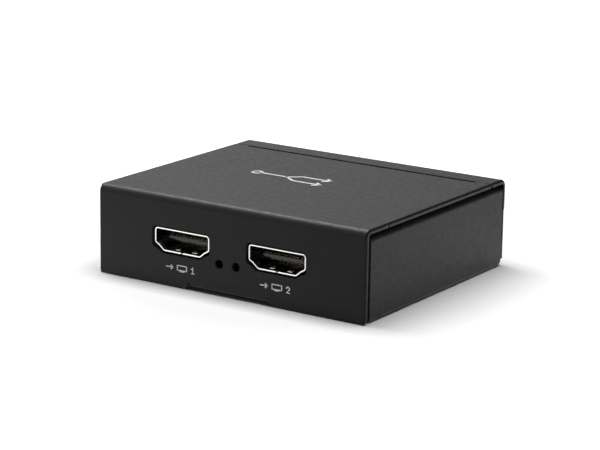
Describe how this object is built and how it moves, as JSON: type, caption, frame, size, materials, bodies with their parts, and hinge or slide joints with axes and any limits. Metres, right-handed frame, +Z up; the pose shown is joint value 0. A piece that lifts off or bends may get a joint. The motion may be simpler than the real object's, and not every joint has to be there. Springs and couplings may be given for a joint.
{
  "type": "hdmi splitter",
  "caption": "Small flat black steel box that copies a video signal: output sockets and indicator holes in front, input socket and power jack behind.",
  "frame": {"origin": "middle of the footprint, on the surface that the case stands on", "axes": "+X to the right seen from the front, along the longest side; +Y from the front wall with the output sockets to the rear wall; +Z up"},
  "size_m": [0.07, 0.0596, 0.0203],
  "materials": {
    "cover_paint": "fine-grained black powder coat",
    "tray_paint": "fine-grained black powder coat",
    "screw_steel": "black zinc, satin",
    "bright_screw_steel": "bright zinc, satin",
    "standoff_brass": "turned, satin",
    "board_laminate": "green solder mask over woven glass, satin",
    "shell_nickel": "nickel plated, bright",
    "insulator_plastic": "moulded black, matt",
    "contact_gold": "gold plated, bright",
    "jack_plastic": "moulded black, satin",
    "jack_metal": "nickel plated, satin",
    "lamp_plastic": "moulded white, matt",
    "lamp_lens_resin": "clear resin, glossy",
    "chip_resin": "moulded black, matt",
    "lead_tin": "tin plated, satin",
    "pad_silicone": "soft grey, matt",
    "sink_aluminium": "extruded, satin",
    "inductor_ferrite": "moulded dark grey, matt",
    "can_aluminium": "drawn, bright",
    "can_base_plastic": "moulded black, matt",
    "crystal_steel": "nickel plated, satin",
    "capacitor_ceramic": "fired tan ceramic, matt",
    "resistor_ceramic": "dark glaze over ceramic, satin",
    "surge_resin": "moulded dark grey, matt",
    "fuse_polymer": "green lacquer, satin"
  },
  "bodies": {
    "root": {"cover_shell": "cover_paint", "rear_panel": "cover_paint", "base_tray": "tray_paint", "case_screws": "screw_steel", "board_standoffs": "standoff_brass", "board_screws": "bright_screw_steel", "circuit_board": "board_laminate", "power_jack_housing": "jack_plastic", "power_jack_pin": "jack_metal", "power_jack_spring": "jack_metal", "indicator_lamp_bodies": "lamp_plastic", "indicator_lamp_lenses": "lamp_lens_resin", "splitter_chip": "chip_resin", "splitter_chip_leads": "lead_tin", "thermal_pad": "pad_silicone", "heat_sink": "sink_aluminium", "memory_chip": "chip_resin", "memory_chip_leads": "lead_tin", "voltage_regulator": "chip_resin", "voltage_regulator_leads": "lead_tin", "power_inductor": "inductor_ferrite", "capacitor_cans": "can_aluminium", "capacitor_bases": "can_base_plastic", "clock_crystal": "crystal_steel", "supply_fuse": "fuse_polymer", "ceramic_capacitors": "capacitor_ceramic", "chip_resistors": "resistor_ceramic", "surge_arrays": "surge_resin", "chip_part_ends": "lead_tin", "output_1_socket_shell": "shell_nickel", "output_1_socket_insulator": "insulator_plastic", "output_1_socket_contacts": "contact_gold", "output_2_socket_shell": "shell_nickel", "output_2_socket_insulator": "insulator_plastic", "output_2_socket_contacts": "contact_gold", "input_socket_shell": "shell_nickel", "input_socket_insulator": "insulator_plastic", "input_socket_contacts": "contact_gold"}
  },
  "joints": []
}
